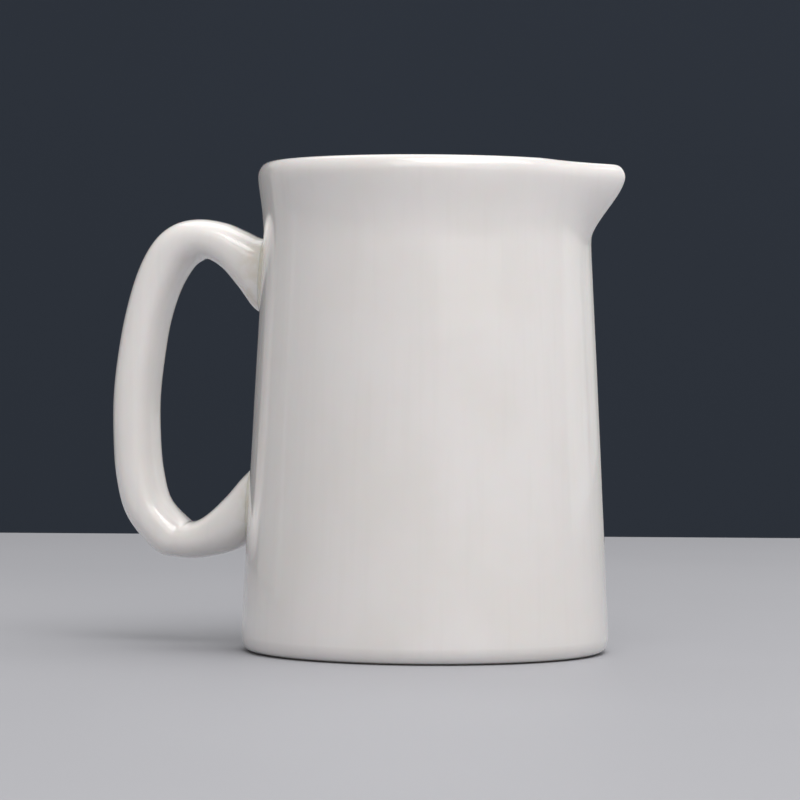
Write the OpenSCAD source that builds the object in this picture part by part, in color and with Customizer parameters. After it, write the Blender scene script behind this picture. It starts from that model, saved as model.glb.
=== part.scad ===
// Porcelain cream jug: a tapered body with a swollen rim and a pinched pouring lip,
// an ear-shaped handle opposite the lip, and a ring foot.
// Millimetres. +Z is up, +X points to the pouring lip, the handle is on the -X side.
// The origin is on the body's axis, on the plane that the foot rests on.

/* [Body] */
// Height from the table to the top of the round rim
body_height = 100; // [85:1:125]
// Diameter of the wall's outside line, carried down to the table
base_diameter = 76; // [62:1:95]
// Diameter of the same line, carried up to the top of the rim
neck_diameter = 65.7; // [52:0.1:90]
// Thickness of the wall
wall_thickness = 2.65; // [2:0.05:4]
// Thickness of the floor above the recess of the foot
floor_thickness = 3.6; // [2.5:0.1:6]
// Radius of the inside corner between the floor and the wall
inside_corner = 8; // [3:0.5:14]

/* [Rim] */
// How far the outside of the rim swells past the wall's line
rim_flare = 1.85; // [0.5:0.05:3.5]
// Height over which the wall swells into the rim, up to the widest point
flare_height = 14; // [8:0.5:20]
// Height of the rounded top edge above the widest point
rim_round = 3; // [1.5:0.1:5]

/* [Pouring lip] */
// How far the lip's tip stands out past the round rim
lip_reach = 6.7; // [2:0.1:9]
// Height of the lip, from where it leaves the wall to the top of the rim
lip_height = 18.5; // [10:0.5:26]
// Angle on each side of the tip at which the lip leaves the round rim
lip_angle = 31; // [24:1:50]
// The same angle at the lip's root in the wall
lip_root_angle = 23; // [10:1:30]
// How far the rim sinks towards the tip of the lip
lip_dip = 0.5; // [0:0.05:1]
// Roundness of the tip, as a share of the lip's half width
lip_roundness = 0.06; // [0.05:0.01:0.4]

/* [Foot] */
// Height of the foot ring, which is also the depth of the recess under the floor
foot_height = 2.2; // [1.5:0.1:4]
// Width of the foot ring across its section
foot_width = 3.4; // [2.5:0.1:6]
// Rounding of the foot ring's resting edges
foot_rounding = 0.45; // [0.2:0.05:0.8]
// Width of the flat under the body's edge, outside the foot ring
edge_land = 0.8; // [0.4:0.1:2]
// Height of the body's lower edge above the table
edge_lift = 0.3; // [0.1:0.1:1]
// Rounding of the body's lower edge, measured across
edge_across = 1.65; // [0.8:0.05:3]
// Rounding of the body's lower edge, measured up
edge_up = 3.1; // [1:0.1:5]
// Gap between the foot ring's outside and the body's edge
foot_clearance = 0.05; // [0.03:0.01:0.2]

/* [Handle] */
// Distance from the top of the rim down to the middle of the upper root
rim_to_upper_root = 23; // [18:0.1:36]
// Height above the table of the middle of the lower root
lower_root_height = 29.6; // [18:0.1:40]
// Distance from the wall to the middle of the grip
handle_reach = 28; // [20:0.1:36]
// Thickness of the grip, seen from the side
handle_thickness = 9; // [6:0.1:12]
// Width of the grip, seen along it from the outside
handle_width = 13.4; // [8:0.1:18]

/* [Slip joints] */
// Thickness of the slip between the wall and each end of the handle
slip_thickness = 0.9; // [0.5:0.05:1.5]
// How far the slip spreads on the wall, past the handle's end
slip_flare = 0.6; // [0.4:0.05:1.5]
// Gap left between the slip and the wall
slip_clearance = 0.03; // [0.02:0.01:0.1]

/* [Hidden] */

porcelain = [0.86, 0.85, 0.84];
biscuit = [0.80, 0.77, 0.72];
joint_tint = [0.82, 0.80, 0.76];

// Segments round the body: close together along the lip, wider apart elsewhere
lip_segments = 44;
far_segments = 56;
segment_split = 36;
// Segments round the handle's section, and steps between two of its stations
section_segments = 28;
station_steps = 4;
// Rings between a root's outline and its middle
cap_rings = 4;
// The handle's section bulges past an ellipse by this power
section_power = 2.3;
// Steepness of the rim's swelling, of the lip's flanks and of the lip's widening
flare_power = 1.4;
flank_power = 3;
widening_power = 0.5;
// Drop from the top of the rim to where the lip has its full reach
lip_full_drop = 1.6;
// Distance over which the handle's ends settle on the round wall
settle_length = 8;

flare_start = body_height - rim_round - flare_height;
rim_widest = body_height - rim_round;
lip_start = body_height - lip_height;
lip_full = body_height - lip_full_drop;
inside_floor = foot_height + floor_thickness;
edge_top = edge_lift + edge_up;
edge_centre = straight_radius(edge_top) - edge_across;
foot_outer_radius = edge_centre - edge_land - foot_clearance;
upper_root_height = body_height - rim_to_upper_root;

// The handle from the upper root round the grip to the lower root. Each station holds:
// share of the reach, share of the height from the lower root to the upper one,
// thickness and width as shares of the grip's, and the tilt of the section,
// which is 90 where it stands along the wall, 0 across the grip and -90 at the lower root.
STATIONS = [
    [0, 1, 1.74, 1.12, 90],
    [0.072, 1.019, 1.62, 1.1, 90],
    [0.187, 1.075, 1.34, 1.05, 90],
    [0.33, 1.134, 1.08, 1, 89],
    [0.5, 1.165, 0.95, 0.98, 80],
    [0.652, 1.146, 1.03, 0.97, 66],
    [0.77, 1.089, 1.1, 0.97, 48],
    [0.865, 0.986, 1.07, 0.98, 36],
    [0.936, 0.84, 1.01, 0.99, 24],
    [0.978, 0.671, 1, 1, 14],
    [1, 0.475, 1, 1, 6],
    [0.982, 0.283, 1, 1, -2],
    [0.94, 0.122, 1.01, 1, -9],
    [0.849, -0.025, 1, 1, -24],
    [0.645, -0.1435, 0.995, 0.99, -49],
    [0.52, -0.161, 0.915, 0.99, -69],
    [0.405, -0.155, 0.945, 1, -86],
    [0.29, -0.128, 1.095, 1.02, -92],
    [0.17, -0.084, 1.37, 1.06, -92],
    [0.077, -0.038, 1.61, 1.1, -91],
    [0, 0, 1.72, 1.12, -90]
];

// 0 below 0, 1 above 1, and a smooth step between
function smooth(x) = x <= 0 ? 0 : x >= 1 ? 1 : x * x * (3 - 2 * x);

// Smooth curve from b to c, with a before them and d after them
function spline(a, b, c, d, t) =
    b + t / 2 * ((c - a) + t * ((2 * a - 5 * b + 4 * c - d) + t * (3 * (b - c) + d - a)));

// Keeps the sign of x while raising its size to a power
function bulge(x) = sign(x) * pow(abs(x), 2 / section_power);

// Outside radius of the tapered wall, without the rim's flare
function straight_radius(z) =
    (base_diameter + (neck_diameter - base_diameter) * z / body_height) / 2;

// Swelling of the wall below the rim: slow at first, upright at the widest point
function flare(z) =
    let(s = min(1, max(0, (z - flare_start) / flare_height)))
    rim_flare * (1 - pow(1 - s * s, flare_power));

function wall_radius(z) = straight_radius(z) + flare(z);
function inner_radius(z) = straight_radius(z) - wall_thickness;

// Share of the lip's reach at a height
function lip_growth(z) = smooth((z - lip_start) / (lip_full - lip_start));

// Half angle of the lip at a height
function lip_half_angle(z) =
    lip_root_angle + (lip_angle - lip_root_angle) * pow(lip_growth(z), widening_power);

// Place across the lip: 1 at the tip, falling along near-straight flanks to 0
function lip_place(angle, z) =
    let(s = min(1, abs(angle) / lip_half_angle(z)), k = lip_roundness)
    1 - (sqrt(s * s + k * k) - k) / (sqrt(1 + k * k) - k);

// A point of the body at a radius, a height and an angle, with the lip drawn out
function body_point(r, z, angle) =
    let(place = lip_place(angle, z),
        far = r + lip_reach * lip_growth(z) * pow(place, flank_power),
        sink = lip_dip * lip_growth(z) * place)
    [far * cos(angle), far * sin(angle), z - sink];

// The body's section from the middle of the recess, round the outside, to the inside floor
function body_profile() = concat(
    [[foot_outer_radius + foot_clearance, foot_height]],
    [[foot_outer_radius + foot_clearance, edge_lift]],
    [for (a = [0 : 15 : 90]) [edge_centre + edge_across * sin(a), edge_top - edge_up * cos(a)]],
    [for (s = [0.25 : 0.25 : 1])
        let(z = edge_top + (flare_start - edge_top) * s) [wall_radius(z), z]],
    [for (s = [0.14 : 0.14 : 0.98])
        let(z = flare_start + flare_height * s) [wall_radius(z), z]],
    [for (a = [0 : 18 : 180]) rim_point(a)],
    [for (s = [0.86 : -0.14 : 0.02])
        let(z = flare_start + flare_height * s) [inner_radius(z), z]],
    [for (s = [0.8 : -0.2 : 0.2])
        let(z = inside_floor + inside_corner + (flare_start - inside_floor - inside_corner) * s)
        [inner_radius(z), z]],
    [for (a = [0 : 15 : 90]) corner_point(a)]
);

// The rounded top edge, from the widest outside point over the top to the inside
function rim_point(a) =
    let(half = (rim_flare + wall_thickness) / 2,
        middle = straight_radius(rim_widest) + rim_flare - half)
    [middle + half * cos(a), rim_widest + rim_round * sin(a)];

// The inside corner, from the wall down to the floor
function corner_point(a) =
    let(z = inside_floor + inside_corner, middle = inner_radius(z) - inside_corner)
    [middle + inside_corner * cos(a), z - inside_corner * sin(a)];

// Angles of the body's segments, from -180 to 180
function body_angles() = concat(
    [for (i = [0 : far_segments / 2 - 1])
        -180 + (180 - segment_split) * i / (far_segments / 2)],
    [for (i = [0 : lip_segments - 1]) -segment_split + 2 * segment_split * i / lip_segments],
    [for (i = [0 : far_segments / 2 - 1])
        segment_split + (180 - segment_split) * i / (far_segments / 2)]
);

// Triangles between two neighbouring rings of n points, the first ring starting at start.
// Each four-sided patch is split along one diagonal, or along the other one if crossed.
function band(start, n, crossed) = [for (i = [0 : n - 1], half = [0, 1])
    let(j = (i + 1) % n, a = start + i, b = start + j, c = start + n + i, d = start + n + j)
    crossed ? (half == 0 ? [a, c, d] : [a, d, b]) : (half == 0 ? [a, c, b] : [b, c, d])];

// Closed solid over a list of rings of n points each, with a single point before and after
module lofted(first, rings, last, crossed = false) {
    n = len(rings[0]);
    count = len(rings);
    points = concat([first], [for (ring = rings) each ring], [last]);
    end = len(points) - 1;
    faces = concat(
        [for (i = [0 : n - 1]) [0, 1 + i, 1 + (i + 1) % n]],
        [for (k = [0 : count - 2]) each band(1 + k * n, n, crossed)],
        [for (i = [0 : n - 1]) [end, end - n + (i + 1) % n, end - n + i]]
    );
    polyhedron(points, faces);
}

// Wall and floor in one casting, with the rim swollen and the lip pulled out
module body() {
    angles = body_angles();
    rings = [for (p = body_profile()) [for (a = angles) body_point(p[0], p[1], a)]];
    color(porcelain)
        lofted([0, 0, foot_height], rings, [0, 0, inside_floor]);
}

// Unglazed ring that the jug stands on, seated under the body inside its edge
module foot_ring() {
    outer = foot_outer_radius;
    inner = outer - foot_width;
    r = foot_rounding;
    color(biscuit)
        rotate_extrude($fn = 120)
            polygon(concat(
                [[inner, foot_height], [inner, r]],
                [for (a = [15 : 15 : 90]) [inner + r - r * cos(a), r - r * sin(a)]],
                [for (a = [90 : -15 : 15]) [outer - r + r * cos(a), r - r * sin(a)]],
                [[outer, r], [outer, foot_height]]
            ));
}

// A station of the handle at a place along it, counted in stations from the upper root
function station(place) =
    let(last = len(STATIONS) - 1,
        k = min(last - 1, floor(place)),
        b = STATIONS[k],
        c = STATIONS[k + 1],
        a = k == 0 ? 2 * b - c : STATIONS[k - 1],
        d = k == last - 1 ? 2 * c - b : STATIONS[k + 2])
    spline(a, b, c, d, place - k);

// A point at a distance out from the wall, a height and a sideways place.
// Near the wall it follows the wall's roundness, further out it doesn't.
function off_wall(out, z, y) =
    let(r = wall_radius(z), round_off = r - sqrt(r * r - y * y), far = max(0, out - slip_thickness))
    [-(r + out - round_off * (1 - smooth(far / settle_length))), y, z];

// One ring of the handle: share draws it in towards its middle, grow pushes its edge out
function handle_ring(place, out_shift = 0, share = 1, grow = 0) =
    let(s = station(place),
        out = slip_thickness + s[0] * (handle_reach - slip_thickness) + out_shift,
        up = lower_root_height + s[1] * (upper_root_height - lower_root_height),
        half_thick = share * (handle_thickness * s[2] / 2 + grow),
        half_wide = share * (handle_width * s[3] / 2 + grow))
    [for (i = [0 : section_segments - 1])
        let(a = 360 * i / section_segments,
            across = half_thick * bulge(cos(a)),
            y = half_wide * bulge(sin(a)))
        off_wall(out + across * cos(s[4]), up + across * sin(s[4]), y)];

// Middle point of a ring that lies on the wall
function handle_middle(place, out_shift = 0) =
    let(s = station(place),
        up = lower_root_height + s[1] * (upper_root_height - lower_root_height))
    off_wall(slip_thickness + out_shift, up, 0);

// Ear-shaped handle, cast by itself, whose ends follow the wall's roundness
module handle() {
    last = len(STATIONS) - 1;
    rings = concat(
        [for (k = [1 : cap_rings]) handle_ring(0, share = k / cap_rings)],
        [for (k = [1 : last * station_steps]) handle_ring(k / station_steps)],
        [for (k = [cap_rings - 1 : -1 : 1]) handle_ring(last, share = k / cap_rings)]
    );
    color(porcelain)
        lofted(handle_middle(0), rings, handle_middle(last));
}

// Slip that bonds one end of the handle to the wall, with a hollow fillet all round.
// Its patches are crossed, so that its face against the handle is the handle's own face.
module slip_joint(place) {
    drop = slip_clearance - slip_thickness;
    fillet = [for (a = [0 : 20 : 80]) [1 - cos(a), sin(a) / sin(80)]];
    spread = slip_flare * (1 - cos(80));
    rings = concat(
        [for (k = [1 : cap_rings - 1]) handle_ring(place, share = k / cap_rings)],
        [for (f = fillet) handle_ring(place, drop * f[1], grow = slip_flare * f[0])],
        [for (k = [cap_rings - 1 : -1 : 1]) handle_ring(place, drop, k / cap_rings, spread)]
    );
    turned = place == 0 ? [for (ring = rings) reversed(ring)] : rings;
    color(joint_tint)
        lofted(handle_middle(place), turned, handle_middle(place, drop), crossed = true);
}

function reversed(ring) = [for (i = [len(ring) - 1 : -1 : 0]) ring[i]];

module upper_slip_joint() {
    slip_joint(0);
}

module lower_slip_joint() {
    slip_joint(len(STATIONS) - 1);
}

body();
foot_ring();
handle();
upper_slip_joint();
lower_slip_joint();
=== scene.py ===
"""Porcelain cream jug: the looks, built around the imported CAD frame.

Metres, +Z up, +X towards the pouring lip. The body, the handle and the two slip joints are
rebuilt as smooth meshes on the same curves as the CAD nodes that they replace, and the foot
ring keeps its CAD shape with a better material. The jug stands turned to the camera, so the
stage, the lights and the camera are all swung round it by the same angle.
"""
import math

import bpy
from mathutils import Matrix, Vector, noise


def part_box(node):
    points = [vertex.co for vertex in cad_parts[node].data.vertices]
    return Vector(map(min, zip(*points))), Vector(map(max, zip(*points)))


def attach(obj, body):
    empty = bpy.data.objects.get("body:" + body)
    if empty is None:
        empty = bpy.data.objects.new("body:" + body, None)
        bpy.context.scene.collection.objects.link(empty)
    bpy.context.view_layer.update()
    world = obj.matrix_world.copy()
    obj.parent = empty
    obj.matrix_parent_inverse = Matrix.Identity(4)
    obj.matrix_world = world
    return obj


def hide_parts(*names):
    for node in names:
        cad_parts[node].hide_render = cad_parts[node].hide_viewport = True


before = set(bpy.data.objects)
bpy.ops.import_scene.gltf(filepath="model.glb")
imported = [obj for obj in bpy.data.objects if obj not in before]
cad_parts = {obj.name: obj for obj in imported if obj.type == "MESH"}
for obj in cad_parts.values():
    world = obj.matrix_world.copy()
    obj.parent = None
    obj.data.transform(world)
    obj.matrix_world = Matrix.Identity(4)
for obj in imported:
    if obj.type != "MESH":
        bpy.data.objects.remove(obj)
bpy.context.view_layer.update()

MM = 0.001
TINY = 1e-9

# ---------------------------------------------------------------- sizes from the frame

body_low, body_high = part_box("body")
handle_low, handle_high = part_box("handle")
_, foot_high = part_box("foot_ring")
upper_low, upper_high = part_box("upper_slip_joint")
lower_low, lower_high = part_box("lower_slip_joint")

RIM_TOP = round(body_high.z, 3)
TAPER = 0.0515                      # loss of wall radius for each unit of height
WALL = 2.65 * MM
RIM_FLARE = 1.85 * MM
FLARE_HEIGHT = 14 * MM
RIM_ROUND = 3 * MM
RIM_WIDEST = RIM_TOP - RIM_ROUND
FLARE_START = RIM_WIDEST - FLARE_HEIGHT
FLARE_POWER = 1.4

EDGE_LIFT = body_low.z
EDGE_UP = 3.1 * MM
EDGE_ACROSS = 1.65 * MM
EDGE_BREAK = 0.12 * MM              # chamfer where the edge meets the recess's side
EDGE_TOP = EDGE_LIFT + EDGE_UP
BASE_RADIUS = -body_low.x + TAPER * EDGE_TOP

FOOT_OUTER = foot_high.y
FOOT_HEIGHT = foot_high.z
FOOT_GAP = 0.05 * MM
INSIDE_FLOOR = FOOT_HEIGHT + 3.6 * MM
INSIDE_CORNER = 8 * MM

LIP_HEIGHT = 18.5 * MM
LIP_START = RIM_TOP - LIP_HEIGHT
LIP_FULL = RIM_TOP - 1.6 * MM
LIP_REACH = 6.7 * MM
LIP_DIP = 0.5 * MM
LIP_ANGLE = math.radians(31)
LIP_ROOT_ANGLE = math.radians(23)
LIP_ROUNDNESS = 0.06
LIP_WIDENING = 0.5
FLANK_POWER = 3

HANDLE_REACH = 28 * MM
HANDLE_THICKNESS = 9 * MM
UPPER_ROOT = (upper_low.z + upper_high.z) / 2
LOWER_ROOT = (lower_low.z + lower_high.z) / 2
SLIP = 0.9 * MM
SLIP_FLARE = 0.75 * MM
SLIP_CORNER = 0.12 * MM             # how near to the wall the handle's skin is run on
SLIP_DRIFT = 0.6 * MM               # how far it may move along the wall on the way
SLIP_SUNK = 0.02 * MM               # depth of the fillet's thin edge in the wall
SECTION_POWER = 2.3
SETTLE_LENGTH = 8 * MM              # over which the handle stops following the wall's roundness

# Stations of the handle, as in the CAD design: share of the reach, share of the height
# between the roots, thickness and width as shares of the grip's, tilt in degrees
STATIONS = (
    (0, 1, 1.74, 1.12, 90),
    (0.072, 1.019, 1.62, 1.1, 90),
    (0.187, 1.075, 1.34, 1.05, 90),
    (0.33, 1.134, 1.08, 1, 89),
    (0.5, 1.165, 0.95, 0.98, 80),
    (0.652, 1.146, 1.03, 0.97, 66),
    (0.77, 1.089, 1.1, 0.97, 48),
    (0.865, 0.986, 1.07, 0.98, 36),
    (0.936, 0.84, 1.01, 0.99, 24),
    (0.978, 0.671, 1, 1, 14),
    (1, 0.475, 1, 1, 6),
    (0.982, 0.283, 1, 1, -2),
    (0.94, 0.122, 1.01, 1, -9),
    (0.849, -0.025, 1, 1, -24),
    (0.645, -0.1435, 0.995, 0.99, -49),
    (0.52, -0.161, 0.915, 0.99, -69),
    (0.405, -0.155, 0.945, 1, -86),
    (0.29, -0.128, 1.095, 1.02, -92),
    (0.17, -0.084, 1.37, 1.06, -92),
    (0.077, -0.038, 1.61, 1.1, -91),
    (0, 0, 1.72, 1.12, -90),
)
LAST_STATION = len(STATIONS) - 1
HANDLE_WIDTH = (handle_high.y - handle_low.y) / max(width for *_, width, _ in STATIONS)

WOBBLE_SLOW = 0.05                  # millimetres
WOBBLE_FINE = 0.018
WOBBLE_ROUND = 1.6                  # how fast the slow part changes round the jug
WOBBLE_HEIGHT = 24 * MM             # and up it
WOBBLE_FINER = 2.7                  # how much faster the fine part changes
WOBBLE_OFFSET = Vector((9, 4, 2))
WOBBLE_START = 4 * MM               # none below this height, so that the foot stays true
WOBBLE_FADE = 12 * MM

LIP_SEGMENTS = 144                  # of the body's segments, those along the lip
FAR_SEGMENTS = 224                  # and those round the rest
SEGMENT_SPLIT = 40                  # degrees each side of the tip that count as the lip
SECTION_SEGMENTS = 72
STATION_STEPS = 12
ROOT_STEP = 0.02                    # of a station, to see which way a root's skin runs
FILLET_RINGS = 12
CAP_RINGS = 6
RECESS_SHARES = (0.35, 0.7, 1)      # rings on each flat floor, as shares of its radius
INSIDE_SHARES = (0.6, 0.25)
CORNER_STEPS = 14
WALL_STEPS = 32
FLARE_STEPS = 24
RIM_STEPS = 28
INSIDE_STEPS = 24


# ---------------------------------------------------------------- shape functions

def smooth(x):
    """0 below 0, 1 above 1, and a smooth step between."""
    x = min(1.0, max(0.0, x))
    return x * x * (3 - 2 * x)


def clamped(x, limit):
    return max(-limit, min(limit, x))


def straight_radius(z):
    return BASE_RADIUS - TAPER * z


def wobble(angle, z):
    """The slight unevenness of hand-finished ware, as a change of radius."""
    place = Vector((math.cos(angle) * WOBBLE_ROUND, math.sin(angle) * WOBBLE_ROUND,
                    z / WOBBLE_HEIGHT))
    slow = noise.noise(place)
    fine = noise.noise(place * WOBBLE_FINER + WOBBLE_OFFSET)
    fade = smooth((z - WOBBLE_START) / WOBBLE_FADE)
    return (WOBBLE_SLOW * slow + WOBBLE_FINE * fine) * MM * fade


def flare(z):
    s = min(1.0, max(0.0, (z - FLARE_START) / FLARE_HEIGHT))
    return RIM_FLARE * (1 - (1 - s * s) ** FLARE_POWER)


def wall_radius(z):
    return straight_radius(z) + flare(z)


def lip_growth(z):
    return smooth((z - LIP_START) / (LIP_FULL - LIP_START))


def lip_place(angle, z):
    """Place across the lip: 1 at the tip, falling along near-straight flanks to 0."""
    half = LIP_ROOT_ANGLE + (LIP_ANGLE - LIP_ROOT_ANGLE) * lip_growth(z) ** LIP_WIDENING
    s = min(1.0, abs(angle) / half)
    k = LIP_ROUNDNESS
    return 1 - (math.sqrt(s * s + k * k) - k) / (math.sqrt(1 + k * k) - k)


def body_point(r, z, angle):
    """A point of the body, with the lip drawn out and the ware's unevenness added."""
    place = lip_place(angle, z)
    far = r + LIP_REACH * lip_growth(z) * place ** FLANK_POWER + wobble(angle, z)
    sink = LIP_DIP * lip_growth(z) * place
    return Vector((far * math.cos(angle), far * math.sin(angle), z - sink))


def arc(first, last, steps):
    """Angles in radians from first to last, given in degrees."""
    return [math.radians(first + (last - first) * i / steps) for i in range(steps + 1)]


def body_profile():
    """The body's section from the recess, round the outside and the rim, to the inside floor."""
    groove = FOOT_OUTER + FOOT_GAP
    edge_centre = straight_radius(EDGE_TOP) - EDGE_ACROSS
    points = [(share * groove, FOOT_HEIGHT) for share in RECESS_SHARES]
    points += [(groove, EDGE_LIFT + EDGE_BREAK), (groove + EDGE_BREAK, EDGE_LIFT)]
    for a in arc(0, 90, CORNER_STEPS):
        points.append((edge_centre + EDGE_ACROSS * math.sin(a), EDGE_TOP - EDGE_UP * math.cos(a)))
    for i in range(1, WALL_STEPS + 1):
        z = EDGE_TOP + (FLARE_START - EDGE_TOP) * i / WALL_STEPS
        points.append((wall_radius(z), z))
    for i in range(1, FLARE_STEPS):
        z = FLARE_START + FLARE_HEIGHT * i / FLARE_STEPS
        points.append((wall_radius(z), z))
    half = (RIM_FLARE + WALL) / 2
    middle = straight_radius(RIM_WIDEST) + RIM_FLARE - half
    for a in arc(0, 180, RIM_STEPS):
        points.append((middle + half * math.cos(a), RIM_WIDEST + RIM_ROUND * math.sin(a)))
    for i in range(1, FLARE_STEPS):
        z = RIM_WIDEST - FLARE_HEIGHT * i / FLARE_STEPS
        points.append((straight_radius(z) - WALL, z))
    corner_top = INSIDE_FLOOR + INSIDE_CORNER
    for i in range(INSIDE_STEPS):
        z = FLARE_START - (FLARE_START - corner_top) * i / INSIDE_STEPS
        points.append((straight_radius(z) - WALL, z))
    corner_middle = straight_radius(corner_top) - WALL - INSIDE_CORNER
    for a in arc(0, 90, CORNER_STEPS):
        points.append((corner_middle + INSIDE_CORNER * math.cos(a),
                       corner_top - INSIDE_CORNER * math.sin(a)))
    points += [(share * corner_middle, INSIDE_FLOOR) for share in INSIDE_SHARES]
    return points


# ---------------------------------------------------------------- mesh making

def lofted(name, first, rings, last):
    """A closed smooth mesh over rings of points, with a single point before and after."""
    n = len(rings[0])
    points = [first]
    for ring in rings:
        points.extend(ring)
    points.append(last)
    end = len(points) - 1
    faces = [(0, 1 + (i + 1) % n, 1 + i) for i in range(n)]
    for k in range(len(rings) - 1):
        a = 1 + k * n
        faces += [(a + i, a + (i + 1) % n, a + n + (i + 1) % n, a + n + i) for i in range(n)]
    faces += [(end, end - n + i, end - n + (i + 1) % n) for i in range(n)]
    mesh = bpy.data.meshes.new(name)
    mesh.from_pydata(points, [], faces)
    mesh.validate()
    mesh.polygons.foreach_set("use_smooth", [True] * len(mesh.polygons))
    mesh.update()
    piece = bpy.data.objects.new(name, mesh)
    bpy.context.scene.collection.objects.link(piece)
    return piece


def spline(a, b, c, d, t):
    """Smooth curve from b to c, with a before them and d after them, for rows of numbers."""
    return [
        q + t / 2 * ((r - p) + t * ((2 * p - 5 * q + 4 * r - s) + t * (3 * (q - r) + s - p)))
        for p, q, r, s in zip(a, b, c, d)
    ]


def station(place):
    """The handle's values at a place between two stations, counted from the upper root."""
    k = min(LAST_STATION - 1, int(place))
    b = STATIONS[k]
    c = STATIONS[k + 1]
    a = [2 * p - q for p, q in zip(b, c)] if k == 0 else STATIONS[k - 1]
    d = [2 * q - p for p, q in zip(b, c)] if k == LAST_STATION - 1 else STATIONS[k + 2]
    return spline(a, b, c, d, place - k)


def bulge(x):
    """Cosine or sine of a section's angle, swollen from an oval's towards a rounded box's."""
    return math.copysign(abs(x) ** (2 / SECTION_POWER), x)


def off_wall(out, z, y):
    """A point out from the wall, which follows the wall's roundness near it and not far off."""
    angle = math.pi - math.asin(y / wall_radius(z))
    r = wall_radius(z) + wobble(angle, z)
    round_off = r - math.sqrt(r * r - y * y)
    near = 1 - smooth((out - SLIP) / SETTLE_LENGTH)
    return Vector((-(r + out - round_off * near), y, z))


def handle_section(place):
    """The handle's section as (out from the wall, height, sideways) rows."""
    reach, height, thickness, width, tilt = station(place)
    out = SLIP + reach * (HANDLE_REACH - SLIP)
    up = LOWER_ROOT + height * (UPPER_ROOT - LOWER_ROOT)
    tilt = math.radians(tilt)
    rows = []
    for i in range(SECTION_SEGMENTS):
        a = math.tau * i / SECTION_SEGMENTS
        across = HANDLE_THICKNESS * thickness / 2 * bulge(math.cos(a))
        side = HANDLE_WIDTH * width / 2 * bulge(math.sin(a))
        rows.append(Vector((out + across * math.cos(tilt), up + across * math.sin(tilt), side)))
    return rows


def placed(rows):
    """Points in the jug's frame from (out from the wall, height, sideways) rows."""
    return [off_wall(row.x, row.y, row.z) for row in rows]


def caps(rows, middle, inward):
    """Rings that close a section over its middle, from the outside in or from the middle out."""
    shares = [k / CAP_RINGS for k in range(1, CAP_RINGS)]
    if inward:
        shares.reverse()
    return [placed([middle + (row - middle) * share for row in rows]) for share in shares]


def make_body():
    side = arc(SEGMENT_SPLIT, 180, FAR_SEGMENTS // 2)[:-1]
    angles = arc(-180, -SEGMENT_SPLIT, FAR_SEGMENTS // 2)[:-1]
    angles += arc(-SEGMENT_SPLIT, SEGMENT_SPLIT, LIP_SEGMENTS)[:-1] + side
    rings = [[body_point(r, z, a) for a in angles] for r, z in body_profile()]
    return lofted("glazed_body", Vector((0, 0, FOOT_HEIGHT)), rings, Vector((0, 0, INSIDE_FLOOR)))


def root_middle(place):
    height = station(place)[1]
    return Vector((SLIP, LOWER_ROOT + height * (UPPER_ROOT - LOWER_ROOT), 0))


def make_handle():
    rings = caps(handle_section(0), root_middle(0), inward=False)
    for k in range(LAST_STATION * STATION_STEPS + 1):
        rings.append(placed(handle_section(k / STATION_STEPS)))
    rings += caps(handle_section(LAST_STATION), root_middle(LAST_STATION), inward=True)
    ends = [placed([root_middle(place)])[0] for place in (0, LAST_STATION)]
    return lofted("glazed_handle", ends[0], rings, ends[1])


def make_slip_joint(name, place, step):
    """Fillet that runs on from the handle's skin and spreads out on the wall."""
    edge = handle_section(place)
    before = handle_section(place + step)
    middle = root_middle(place)
    wall_middle = Vector((0, middle.y, 0))
    rows_to_wall = []
    for row, earlier in zip(edge, before):
        run = row - earlier
        if run.x > -TINY:
            run = Vector((-1, 0, 0))
        corner = row + run * ((row.x - SLIP_CORNER) / -run.x)
        corner.y = row.y + clamped(corner.y - row.y, SLIP_DRIFT)
        corner.z = row.z + clamped(corner.z - row.z, SLIP_DRIFT)
        away = Vector((0, corner.y - middle.y, corner.z)).normalized()
        foot = Vector((-SLIP_SUNK, corner.y, corner.z)) + away * SLIP_FLARE
        rows_to_wall.append((row, corner, foot))
    rings = caps(edge, middle, inward=False)
    for k in range(FILLET_RINGS + 1):
        t = k / FILLET_RINGS
        rings.append(placed([
            a * (1 - t) ** 2 + b * 2 * t * (1 - t) + c * t * t for a, b, c in rows_to_wall
        ]))
    foot_rows = [rows[2] for rows in rows_to_wall]
    rings += caps(foot_rows, wall_middle, inward=True)
    if step > 0:
        rings = [list(reversed(ring)) for ring in rings]
    return lofted(name, placed([middle])[0], rings, placed([wall_middle])[0])


# ---------------------------------------------------------------- materials

BODY_WHITE, BODY_WARM = (0.80, 0.775, 0.768), (0.77, 0.744, 0.726)
# The handle's tones are the body's glaze painted lighter, as painted light on the handle.
HANDLE_WHITE_PAINTED_LIGHTER, HANDLE_WARM_PAINTED_LIGHTER = (0.85, 0.826, 0.816), (0.82, 0.795, 0.775)
SLIP_WHITE, SLIP_WARM = (0.78, 0.755, 0.70), (0.74, 0.70, 0.62)
# Tone of the upright streaks, painted to stand in for streaky reflections in the glaze.
PAINTED_STREAK_TONE = (0.70, 0.675, 0.655)
PINHOLE_TONE = (0.45, 0.40, 0.30)
SPECK_TONE = (0.10, 0.08, 0.06)
ROOT_TONE = (0.62, 0.54, 0.38)
CLAY_LIGHT, CLAY_DARK = (0.72, 0.68, 0.60), (0.62, 0.57, 0.48)
CLAY_GRAIN = (0.42, 0.38, 0.32)
CLAY_SOIL = (0.38, 0.35, 0.31)
FLOOR_LIGHT, FLOOR_DARK = (0.395, 0.400, 0.430), (0.360, 0.365, 0.395)
BACKDROP_LIGHT, BACKDROP_DARK = (0.015, 0.023, 0.038), (0.012, 0.019, 0.032)
SCREEN_LIGHT, SCREEN_DARK = (0.19, 0.19, 0.20), (0.17, 0.17, 0.18)

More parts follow.
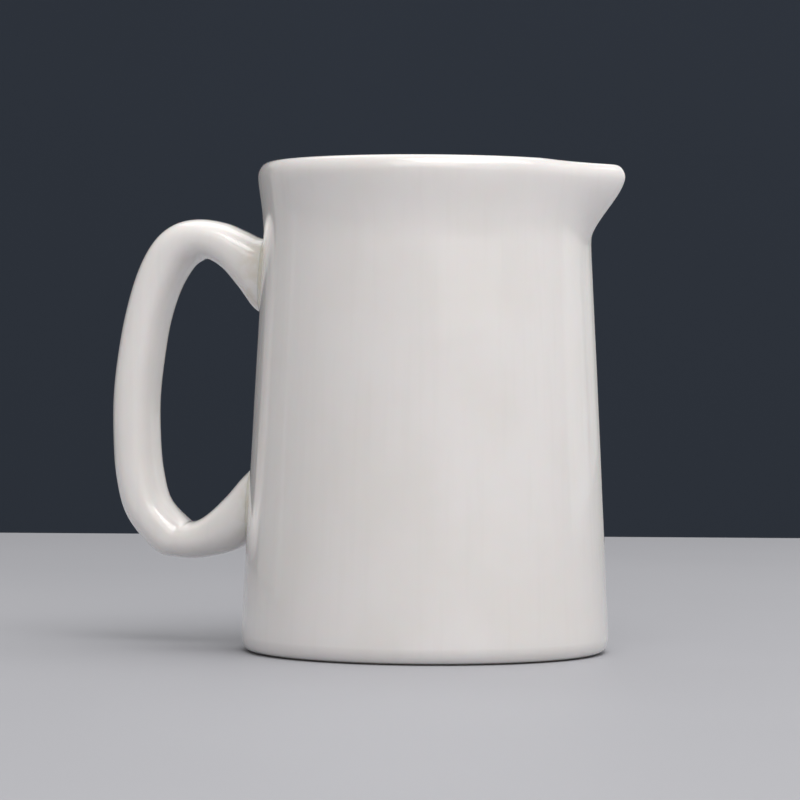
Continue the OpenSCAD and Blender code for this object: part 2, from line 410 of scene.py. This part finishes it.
# Scales of the patterns: about this many features in a metre
CLOUD_SCALE = 45
RUN_AND_STREAK_SCALE = 650
RUN_AND_STREAK_STRETCH = (1, 1, 0.02)
PINHOLE_SCALE = 95
SPECK_SCALE = 60
ROOT_PATCH_SCALE = 420
RIPPLE_SCALE = 150
PEEL_SCALE = 900
SHEEN_SCALE = 70
CLAY_GRAIN_SCALE = 2600
CLAY_BLOTCH_SCALE = 160
STAGE_CLOUD_SCALE = 6

# How much of each tone is mixed in, and how much of each pattern is in the bump
PAINTED_STREAK_AMOUNT = 0.13
PINHOLE_AMOUNT = 0.16
SPECK_AMOUNT = 0.7
ROOT_AMOUNT = 0.35
GRAIN_AMOUNT = 0.35
SOIL_AMOUNT = 0.4
PEEL_BUMP = 0.12
RUN_BUMP = 0.25

ROOT_TINT_START = -0.0400           # X where the tint of the handle's roots begins
ROOT_TINT_FULL = -0.0352            # and where it is strongest
SOIL_HEIGHT = 0.0006                # height to which the foot is soiled
GLAZE_ROUGHNESS = (0.16, 0.24)
CLAY_ROUGHNESS = (0.7, 0.92)
GLASS_IOR = 1.5

def new_material(name):
    material = bpy.data.materials.new(name)
    material.use_nodes = True
    tree = material.node_tree
    return material, tree, tree.nodes["Principled BSDF"]


def node(tree, kind, **settings):
    made = tree.nodes.new(kind)
    for key, value in settings.items():
        setattr(made, key, value)
    return made


def set_inputs(made, **values):
    """Sets sockets by name, with _ for each space of the name."""
    for key, value in values.items():
        made.inputs[key.replace("_", " ")].default_value = value


def math_node(tree, operation, first, second=None):
    """A Math node whose inputs are sockets or numbers."""
    made = node(tree, "ShaderNodeMath", operation=operation)
    for i, value in enumerate((first, second)):
        if value is None:
            continue
        if isinstance(value, (int, float)):
            made.inputs[i].default_value = value
        else:
            tree.links.new(value, made.inputs[i])
    return made.outputs[0]


def ramp(tree, factor, low, high):
    """0 at low, 1 at high, smooth between."""
    made = node(tree, "ShaderNodeMapRange", interpolation_type="SMOOTHSTEP")
    tree.links.new(factor, made.inputs["Value"])
    made.inputs["From Min"].default_value = low
    made.inputs["From Max"].default_value = high
    return made.outputs["Result"]


def mixed(tree, factor, first, second):
    """Mix of two colours, each a socket or a colour, by a socket."""
    made = node(tree, "ShaderNodeMix", data_type="RGBA")
    tree.links.new(factor, made.inputs["Factor"])
    for socket, value in ((made.inputs[6], first), (made.inputs[7], second)):
        if isinstance(value, tuple):
            socket.default_value = (*value, 1)
        else:
            tree.links.new(value, socket)
    return made.outputs[2]


def noise_node(tree, place, scale, detail=2.0, roughness=0.5):
    made = node(tree, "ShaderNodeTexNoise")
    tree.links.new(place, made.inputs["Vector"])
    set_inputs(made, Scale=scale, Detail=detail, Roughness=roughness)
    return made.outputs["Fac"]


def spots(tree, place, scale, size, chance):
    """Sparse round spots: 1 in a spot's middle, 0 outside."""
    cells = node(tree, "ShaderNodeTexVoronoi", feature="F1")
    tree.links.new(place, cells.inputs["Vector"])
    set_inputs(cells, Scale=scale)
    near = ramp(tree, cells.outputs["Distance"], size, size * 0.35)
    pick = node(tree, "ShaderNodeSeparateColor")
    tree.links.new(cells.outputs["Color"], pick.inputs["Color"])
    chosen = math_node(tree, "LESS_THAN", pick.outputs["Red"], chance)
    return math_node(tree, "MULTIPLY", near, chosen)


def scaled(tree, socket, amount):
    return math_node(tree, "MULTIPLY", socket, amount)


def bumped(tree, height, strength, distance):
    """Normal of a surface that rises and falls with height, by distance in metres."""
    bump = node(tree, "ShaderNodeBump")
    set_inputs(bump, Strength=strength, Distance=distance)
    tree.links.new(height, bump.inputs["Height"])
    return bump.outputs["Normal"]


def roughness_from(tree, pattern, low_high, shader):
    """Roughness that varies between two values with a pattern."""
    rough = node(tree, "ShaderNodeMapRange")
    tree.links.new(pattern, rough.inputs["Value"])
    set_inputs(rough, To_Min=low_high[0], To_Max=low_high[1])
    tree.links.new(rough.outputs["Result"], shader.inputs["Roughness"])


def coordinate(tree, place, axis):
    at = node(tree, "ShaderNodeSeparateXYZ")
    tree.links.new(place, at.inputs[0])
    return at.outputs[axis]


def runs_and_painted_streaks_pattern(tree, place):
    """Upright streaks, noise drawn out along Z: glaze runs in the bump, and painted reflection
    streaks in the colour.
    """
    stretched = node(tree, "ShaderNodeMapping")
    tree.links.new(place, stretched.inputs["Vector"])
    stretched.inputs["Scale"].default_value = RUN_AND_STREAK_STRETCH
    return ramp(tree, noise_node(tree, stretched.outputs["Vector"], RUN_AND_STREAK_SCALE, 2), 0.45, 0.75)


def glaze(name, white, warm, root_tint):
    """Glossy white glaze over porcelain: faint clouding, runs with painted reflection streaks,
    pinholes, specks and a ripple.
    """
    material, tree, shader = new_material(name)
    place = node(tree, "ShaderNodeTexCoord").outputs["Object"]
    clouding = ramp(tree, noise_node(tree, place, CLOUD_SCALE, 3), 0.35, 0.7)
    runs_and_painted_streaks = runs_and_painted_streaks_pattern(tree, place)
    pinholes = spots(tree, place, PINHOLE_SCALE, size=0.16, chance=0.035)
    specks = spots(tree, place, SPECK_SCALE, size=0.035, chance=0.02)
    colour = mixed(tree, clouding, white, warm)
    # Darker upright streaks painted into the colour: a painted reflection of streaks in the glaze.
    colour = mixed(tree, scaled(tree, runs_and_painted_streaks, PAINTED_STREAK_AMOUNT), colour, PAINTED_STREAK_TONE)
    colour = mixed(tree, scaled(tree, pinholes, PINHOLE_AMOUNT), colour, PINHOLE_TONE)
    colour = mixed(tree, scaled(tree, specks, SPECK_AMOUNT), colour, SPECK_TONE)
    if root_tint:
        near_wall = ramp(tree, coordinate(tree, place, "X"), ROOT_TINT_START, ROOT_TINT_FULL)
        patchy = ramp(tree, noise_node(tree, place, ROOT_PATCH_SCALE, 2), 0.35, 0.65)
        amount = math_node(tree, "MULTIPLY", near_wall, patchy)
        colour = mixed(tree, scaled(tree, amount, ROOT_AMOUNT), colour, ROOT_TONE)
    tree.links.new(colour, shader.inputs["Base Color"])
    ripple = noise_node(tree, place, RIPPLE_SCALE, 2, 0.4)
    orange_peel = noise_node(tree, place, PEEL_SCALE, 1, 0.4)
    height = math_node(tree, "ADD", ripple, scaled(tree, orange_peel, PEEL_BUMP))
    height = math_node(tree, "ADD", height, scaled(tree, runs_and_painted_streaks, RUN_BUMP))
    normal = bumped(tree, height, strength=0.05, distance=0.0004)
    tree.links.new(normal, shader.inputs["Normal"])
    tree.links.new(normal, shader.inputs["Coat Normal"])
    roughness_from(tree, noise_node(tree, place, SHEEN_SCALE, 2), GLAZE_ROUGHNESS, shader)
    set_inputs(shader, IOR=GLASS_IOR, Coat_IOR=GLASS_IOR, Coat_Weight=1.0, Coat_Roughness=0.03,
               Subsurface_Weight=0.12, Subsurface_Scale=0.0015)
    return material


def biscuit(name):
    """Bare fired clay: matt, grainy and a little soiled where it meets the table."""
    material, tree, shader = new_material(name)
    place = node(tree, "ShaderNodeTexCoord").outputs["Object"]
    grain = noise_node(tree, place, CLAY_GRAIN_SCALE, 3, 0.6)
    blotch = noise_node(tree, place, CLAY_BLOTCH_SCALE, 3)
    colour = mixed(tree, ramp(tree, blotch, 0.35, 0.7), CLAY_LIGHT, CLAY_DARK)
    grains = ramp(tree, grain, 0.55, 0.75)
    colour = mixed(tree, scaled(tree, grains, GRAIN_AMOUNT), colour, CLAY_GRAIN)
    low_down = ramp(tree, coordinate(tree, place, "Z"), SOIL_HEIGHT, 0.0)
    soiled = math_node(tree, "MULTIPLY", low_down, ramp(tree, blotch, 0.4, 0.6))
    colour = mixed(tree, scaled(tree, soiled, SOIL_AMOUNT), colour, CLAY_SOIL)
    tree.links.new(colour, shader.inputs["Base Color"])
    tree.links.new(bumped(tree, grain, strength=0.35, distance=0.0001), shader.inputs["Normal"])
    roughness_from(tree, grain, CLAY_ROUGHNESS, shader)
    return material


def plain(name, dark, light, roughness):
    """A stage surface of one tone with a faint cloud in it."""
    material, tree, shader = new_material(name)
    place = node(tree, "ShaderNodeTexCoord").outputs["Object"]
    colour = mixed(tree, noise_node(tree, place, STAGE_CLOUD_SCALE, 3), dark, light)
    tree.links.new(colour, shader.inputs["Base Color"])
    shader.inputs["Roughness"].default_value = roughness
    return material


def dress(piece, material):
    piece.data.materials.clear()
    piece.data.materials.append(material)
    return piece


# ---------------------------------------------------------------- the jug

white_glaze = glaze("jug_glaze", BODY_WHITE, BODY_WARM, root_tint=False)
# The handle's glaze is the body's glaze painted lighter, as painted light on the handle.
handle_glaze_painted_lighter = glaze("handle_glaze_painted_lighter", HANDLE_WHITE_PAINTED_LIGHTER, HANDLE_WARM_PAINTED_LIGHTER, root_tint=True)
slip_glaze = glaze("slip_glaze", SLIP_WHITE, SLIP_WARM, root_tint=True)
bare_clay = biscuit("bare_biscuit")

body = dress(make_body(), white_glaze)
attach(body, "root")
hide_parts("body")

handle = dress(make_handle(), handle_glaze_painted_lighter)
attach(handle, "root")
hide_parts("handle")

upper_joint = dress(make_slip_joint("upper_slip_fillet", 0, ROOT_STEP), slip_glaze)
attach(upper_joint, "root")
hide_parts("upper_slip_joint")

lower_joint = dress(make_slip_joint("lower_slip_fillet", LAST_STATION, -ROOT_STEP), slip_glaze)
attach(lower_joint, "root")
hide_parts("lower_slip_joint")

foot_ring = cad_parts["foot_ring"]
for material_slot in foot_ring.material_slots:
    material_slot.material = bare_clay


# ---------------------------------------------------------------- stage, light and camera

JUG_TURN = 16                       # degrees that the lip is turned towards the camera
SWING = Matrix.Rotation(math.radians(JUG_TURN), 4, "Z")

# Before the swing the camera looks along +Y, and X runs to its right
FLOOR_NEAR = -1.6
FLOOR_FAR = 0.49
FLOOR_SIDE = 1.6
BACKDROP_AWAY = 0.95
BACKDROP_LOW = -0.1
BACKDROP_HIGH = 0.45
BACKDROP_SIDE = 0.22
SCREEN_LEFT = 1.1                   # a paler screen runs on to the left from the backdrop

AIM = Vector((0, 0, 0.05))          # the point that the lights face
WARM = (1.0, 0.98, 0.965)
NEUTRAL = (1.0, 1.0, 1.0)
WORLD_COLOUR = (1.0, 0.99, 0.965, 1)
WORLD_STRENGTH = 0.435

LENS = 152.95                       # millimetres
SENSOR = 36
CLIP_START = 0.01
CAMERA_DISTANCE = 0.6991
CAMERA_HEIGHT = 0.0574
CAMERA_TURN = 0.0077                # radians
CAMERA_TILT = -0.0084
CAMERA_ROLL = 0.0065


def sheet_mesh(name, corners, material):
    mesh = bpy.data.meshes.new(name)
    mesh.from_pydata([SWING @ Vector(corner) for corner in corners], [], [(0, 1, 2, 3)])
    made = bpy.data.objects.new(name, mesh)
    bpy.context.scene.collection.objects.link(made)
    dress(made, material)


def upright_sheet(name, left, right, material):
    sheet_mesh(name, [(left, BACKDROP_AWAY, BACKDROP_LOW), (right, BACKDROP_AWAY, BACKDROP_LOW),
                      (right, BACKDROP_AWAY, BACKDROP_HIGH), (left, BACKDROP_AWAY, BACKDROP_HIGH)],
               material)


def softbox(name, turn, rise, away, width, height, brightness, colour):
    """A soft panel facing the jug.

    turn, to the right from the camera, and rise are in degrees, and away, width and height in
    metres. brightness is the panel's own, so a larger panel of the same brightness gives more light.
    """
    data = bpy.data.lights.new(name, "AREA")
    data.shape = "RECTANGLE"
    data.size = width
    data.size_y = height
    data.energy = math.pi * width * height * brightness
    data.color = colour
    lamp = bpy.data.objects.new(name, data)
    turn, rise = math.radians(turn + JUG_TURN), math.radians(rise)
    towards = Vector((math.sin(turn) * math.cos(rise), -math.cos(turn) * math.cos(rise),
                      math.sin(rise)))
    lamp.location = AIM + towards * away
    lamp.rotation_euler = (-towards).to_track_quat("-Z", "Y").to_euler()
    bpy.context.scene.collection.objects.link(lamp)


floor_tone = plain("floor_tone", FLOOR_DARK, FLOOR_LIGHT, 0.6)
backdrop_tone = plain("backdrop_tone", BACKDROP_DARK, BACKDROP_LIGHT, 0.9)
screen_tone = plain("screen_tone", SCREEN_DARK, SCREEN_LIGHT, 0.9)
sheet_mesh("floor", [(-FLOOR_SIDE, FLOOR_NEAR, 0), (FLOOR_SIDE, FLOOR_NEAR, 0),
                     (FLOOR_SIDE, FLOOR_FAR, 0), (-FLOOR_SIDE, FLOOR_FAR, 0)], floor_tone)
upright_sheet("backdrop", -BACKDROP_SIDE, BACKDROP_SIDE, backdrop_tone)
upright_sheet("side_screen", -SCREEN_LEFT, -BACKDROP_SIDE, screen_tone)

softbox("front", 0, 38, 1.5, 1.2, 0.8, 1.28, WARM)
softbox("front_right", 30, 30, 1.5, 1.3, 1.3, 0.40, WARM)
softbox("right", 95, 25, 1.4, 1.1, 1.2, 0.12, WARM)
softbox("back_right", 120, 20, 1.2, 0.6, 0.9, 0.34, NEUTRAL)
softbox("far_right", 145, 20, 1.2, 0.4, 0.9, 0.21, NEUTRAL)
softbox("high_right", 60, 62, 1.4, 1.2, 1.0, 1.55, WARM)
softbox("high_front", 20, 62, 1.4, 1.0, 0.8, 2.75, WARM)
softbox("overhead", 0, 88, 1.3, 1.2, 1.2, 0.30, NEUTRAL)
softbox("high_back", 180, 60, 1.2, 1.1, 0.6, 1.16, NEUTRAL)
softbox("left_strip", -105, 14, 1.2, 0.1, 1.1, 0.20, NEUTRAL)

world = bpy.data.worlds.new("studio")
world.use_nodes = True
set_inputs(world.node_tree.nodes["Background"], Color=WORLD_COLOUR, Strength=WORLD_STRENGTH)
bpy.context.scene.world = world

camera_data = bpy.data.cameras.new("camera")
camera_data.lens = LENS
camera_data.sensor_width = SENSOR
camera_data.clip_start = CLIP_START
camera = bpy.data.objects.new("camera", camera_data)
stand = Matrix.Translation((0, -CAMERA_DISTANCE, CAMERA_HEIGHT))
turn = Matrix.Rotation(CAMERA_TURN, 4, "Z")
tilt = Matrix.Rotation(math.pi / 2 + CAMERA_TILT, 4, "X")
roll = Matrix.Rotation(CAMERA_ROLL, 4, "Z")
camera.matrix_world = SWING @ stand @ turn @ tilt @ roll
bpy.context.scene.collection.objects.link(camera)
bpy.context.scene.camera = camera
bpy.context.scene.view_settings.view_transform = "Standard"
